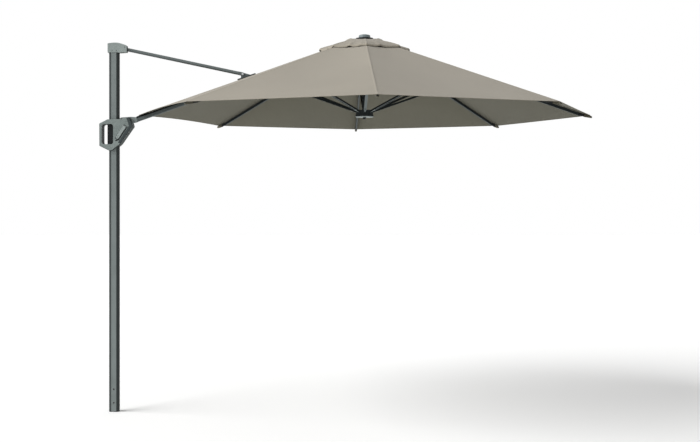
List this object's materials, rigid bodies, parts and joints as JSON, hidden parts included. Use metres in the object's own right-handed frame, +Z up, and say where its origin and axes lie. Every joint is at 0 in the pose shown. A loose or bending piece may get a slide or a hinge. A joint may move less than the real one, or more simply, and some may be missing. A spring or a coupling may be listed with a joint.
{
  "type": "cantilever parasol",
  "caption": "Side-post garden parasol: an octagonal canopy on a cantilevered boom with an upper stay, folded down the post by a sliding handle.",
  "frame": {"origin": "centre of the mast's foot face, on the ground", "axes": "+Z up along the mast, +X from the mast towards the canopy, +Y completes the right-handed set and is the boom hinges' axis"},
  "size_m": [3.2595, 3.017, 2.5],
  "materials": {
    "mast_finish": "powder-coated grey-green anthracite, satin",
    "arm_finish": "powder-coated anthracite, satin",
    "strut_finish": "powder-coated grey, satin",
    "cast_finish": "painted die casting, satin grey",
    "grip_rubber": "soft dark grip",
    "pad_plastic": "slide plastic, matt",
    "black_plastic": "moulded, matt black",
    "hub_tube": "powder-coated, dark",
    "finial_plastic": "moulded grey, half gloss",
    "steel": "zinc-plated steel",
    "canopy_cloth": "woven taupe outdoor canvas, matt"
  },
  "bodies": {
    "mast": {"mast_tube": "mast_finish", "mast_foot_insert": "pad_plastic", "mast_head": "cast_finish", "mast_head_screws": "steel", "stay_pivot_bolt": "steel"},
    "stay": {"stay_tube": "arm_finish", "stay_upper_eye": "cast_finish", "stay_lower_fork": "cast_finish"},
    "boom": {"boom_tube": "arm_finish", "boom_root": "cast_finish", "boom_hub_eye": "steel", "boom_pins": "steel", "stay_bracket": "black_plastic", "canopy_corner_plate": "black_plastic", "canopy_boom": "canopy_cloth"},
    "slider": {"slider_front_shell": "cast_finish", "slider_rear_shell": "cast_finish", "slider_grip": "grip_rubber", "slider_pads": "pad_plastic", "slider_fasteners": "steel", "boom_pivot_pin": "steel"},
    "lever": {"release_lever": "cast_finish"},
    "brake": {"brake_shoe": "pad_plastic"},
    "hub": {"upper_hub": "pad_plastic", "hub_hinge_pins": "steel", "centre_tube": "hub_tube", "finial_disc": "black_plastic", "finial": "finial_plastic"},
    "boom_strut": {"strut_boom": "strut_finish"},
    "runner": {"runner": "cast_finish", "runner_hinge_pins": "steel", "runner_knob": "black_plastic"},
    "arm_1": {"rib_1": "arm_finish", "rib_1_fittings": "black_plastic", "canopy_1": "canopy_cloth"},
    "arm_strut_1": {"strut_1": "strut_finish"},
    "arm_2": {"rib_2": "arm_finish", "rib_2_fittings": "black_plastic", "canopy_2": "canopy_cloth"},
    "arm_strut_2": {"strut_2": "strut_finish"},
    "arm_3": {"rib_3": "arm_finish", "rib_3_fittings": "black_plastic", "canopy_3": "canopy_cloth"},
    "arm_strut_3": {"strut_3": "strut_finish"},
    "arm_4": {"rib_4": "arm_finish", "rib_4_fittings": "black_plastic", "canopy_4": "canopy_cloth"},
    "arm_strut_4": {"strut_4": "strut_finish"},
    "arm_5": {"rib_5": "arm_finish", "rib_5_fittings": "black_plastic", "canopy_5": "canopy_cloth"},
    "arm_strut_5": {"strut_5": "strut_finish"},
    "arm_6": {"rib_6": "arm_finish", "rib_6_fittings": "black_plastic", "canopy_6": "canopy_cloth"},
    "arm_strut_6": {"strut_6": "strut_finish"},
    "arm_7": {"rib_7": "arm_finish", "rib_7_fittings": "black_plastic", "canopy_7": "canopy_cloth"},
    "arm_strut_7": {"strut_7": "strut_finish"}
  },
  "joints": [
    {"name": "fold", "type": "hinge", "parent": "mast", "child": "stay", "pos_m": [0.066, 0, 2.414], "axis": [0, 1, 0], "range_deg": [0, 65], "deforming": ["canopy_boom", "canopy_1", "canopy_2", "canopy_3", "canopy_4", "canopy_5", "canopy_6", "canopy_7"]},
    {"name": "boom_swing", "type": "hinge", "parent": "stay", "child": "boom", "pos_m": [0.851, 0, 2.236], "axis": [0, 1, 0], "range_deg": [-121.84, 0]},
    {"name": "boom_root_pivot", "type": "hinge", "parent": "boom", "child": "slider", "pos_m": [0.052, 0, 1.932], "axis": [0, 1, 0], "range_deg": [0, 56.78]},
    {"name": "hub_pivot", "type": "hinge", "parent": "boom", "child": "hub", "pos_m": [1.609, 0, 2.4455], "axis": [0, 1, 0], "range_deg": [0, 64.78]},
    {"name": "boom_strut_pivot", "type": "hinge", "parent": "boom", "child": "boom_strut", "pos_m": [0.951, 0, 2.2152], "axis": [0, -1, 0], "range_deg": [-129.56, 0]},
    {"name": "runner_pivot", "type": "hinge", "parent": "boom_strut", "child": "runner", "pos_m": [1.609, 0, 1.9849], "axis": [0, -1, 0], "range_deg": [0, 64.78]},
    {"name": "rib_1_hinge", "type": "hinge", "parent": "hub", "child": "arm_1", "pos_m": [1.62365, -0.03535, 2.4455], "axis": [0.7071, -0.7071, 0], "range_deg": [0, 64.78]},
    {"name": "strut_1_hinge", "type": "hinge", "parent": "arm_1", "child": "arm_strut_1", "pos_m": [1.15837, -0.50063, 2.2152], "axis": [0.7071, -0.7071, 0], "range_deg": [-129.56, 0]},
    {"name": "rib_2_hinge", "type": "hinge", "parent": "hub", "child": "arm_2", "pos_m": [1.659, -0.05, 2.4455], "axis": [1, 0, 0], "range_deg": [0, 64.78]},
    {"name": "strut_2_hinge", "type": "hinge", "parent": "arm_2", "child": "arm_strut_2", "pos_m": [1.659, -0.708, 2.2152], "axis": [1, 0, 0], "range_deg": [-129.56, 0]},
    {"name": "rib_3_hinge", "type": "hinge", "parent": "hub", "child": "arm_3", "pos_m": [1.69436, -0.03535, 2.4455], "axis": [0.7071, 0.7071, 0], "range_deg": [0, 64.78]},
    {"name": "strut_3_hinge", "type": "hinge", "parent": "arm_3", "child": "arm_strut_3", "pos_m": [2.15963, -0.50063, 2.2152], "axis": [0.7071, 0.7071, 0], "range_deg": [-129.56, 0]},
    {"name": "rib_4_hinge", "type": "hinge", "parent": "hub", "child": "arm_4", "pos_m": [1.709, 0, 2.4455], "axis": [0, 1, 0], "range_deg": [0, 64.78]},
    {"name": "strut_4_hinge", "type": "hinge", "parent": "arm_4", "child": "arm_strut_4", "pos_m": [2.367, 0, 2.2152], "axis": [0, 1, 0], "range_deg": [-129.56, 0]},
    {"name": "rib_5_hinge", "type": "hinge", "parent": "hub", "child": "arm_5", "pos_m": [1.69436, 0.03535, 2.4455], "axis": [-0.7071, 0.7071, 0], "range_deg": [0, 64.78]},
    {"name": "strut_5_hinge", "type": "hinge", "parent": "arm_5", "child": "arm_strut_5", "pos_m": [2.15963, 0.50063, 2.2152], "axis": [-0.7071, 0.7071, 0], "range_deg": [-129.56, 0]},
    {"name": "rib_6_hinge", "type": "hinge", "parent": "hub", "child": "arm_6", "pos_m": [1.659, 0.05, 2.4455], "axis": [-1, 0, 0], "range_deg": [0, 64.78]},
    {"name": "strut_6_hinge", "type": "hinge", "parent": "arm_6", "child": "arm_strut_6", "pos_m": [1.659, 0.708, 2.2152], "axis": [-1, 0, 0], "range_deg": [-129.56, 0]},
    {"name": "rib_7_hinge", "type": "hinge", "parent": "hub", "child": "arm_7", "pos_m": [1.62365, 0.03535, 2.4455], "axis": [-0.7071, -0.7071, 0], "range_deg": [0, 64.78]},
    {"name": "strut_7_hinge", "type": "hinge", "parent": "arm_7", "child": "arm_strut_7", "pos_m": [1.15837, 0.50063, 2.2152], "axis": [-0.7071, -0.7071, 0], "range_deg": [-129.56, 0]},
    {"name": "release_lever_lift", "type": "hinge", "parent": "slider", "child": "lever", "pos_m": [0.07526, -0.05, 1.88582], "axis": [-0.8366, 0, 0.5478], "range_deg": [0, 35], "stiffness_Nm_per_rad": 0.4, "springref_deg": -17.19},
    {"name": "brake_slide", "type": "slide", "parent": "slider", "child": "brake", "axis": [0, -1, 0], "range_m": [0, 0.0025]}
  ],
  "couplings": [
    {"joint": "boom_swing", "follows": "fold", "ratio": -1.8725},
    {"joint": "boom_root_pivot", "follows": "fold", "ratio": 0.87247},
    {"joint": "hub_pivot", "follows": "fold", "ratio": 0.99554},
    {"joint": "boom_strut_pivot", "follows": "fold", "ratio": -1.9911},
    {"joint": "runner_pivot", "follows": "fold", "ratio": 0.99554},
    {"joint": "rib_1_hinge", "follows": "fold", "ratio": 0.99554},
    {"joint": "strut_1_hinge", "follows": "fold", "ratio": -1.9911},
    {"joint": "rib_2_hinge", "follows": "fold", "ratio": 0.99554},
    {"joint": "strut_2_hinge", "follows": "fold", "ratio": -1.9911},
    {"joint": "rib_3_hinge", "follows": "fold", "ratio": 0.99554},
    {"joint": "strut_3_hinge", "follows": "fold", "ratio": -1.9911},
    {"joint": "rib_4_hinge", "follows": "fold", "ratio": 0.99554},
    {"joint": "strut_4_hinge", "follows": "fold", "ratio": -1.9911},
    {"joint": "rib_5_hinge", "follows": "fold", "ratio": 0.99554},
    {"joint": "strut_5_hinge", "follows": "fold", "ratio": -1.9911},
    {"joint": "rib_6_hinge", "follows": "fold", "ratio": 0.99554},
    {"joint": "strut_6_hinge", "follows": "fold", "ratio": -1.9911},
    {"joint": "rib_7_hinge", "follows": "fold", "ratio": 0.99554},
    {"joint": "strut_7_hinge", "follows": "fold", "ratio": -1.9911},
    {"joint": "brake_slide", "follows": "release_lever_lift", "m_per_rad": 0.004088}
  ]
}
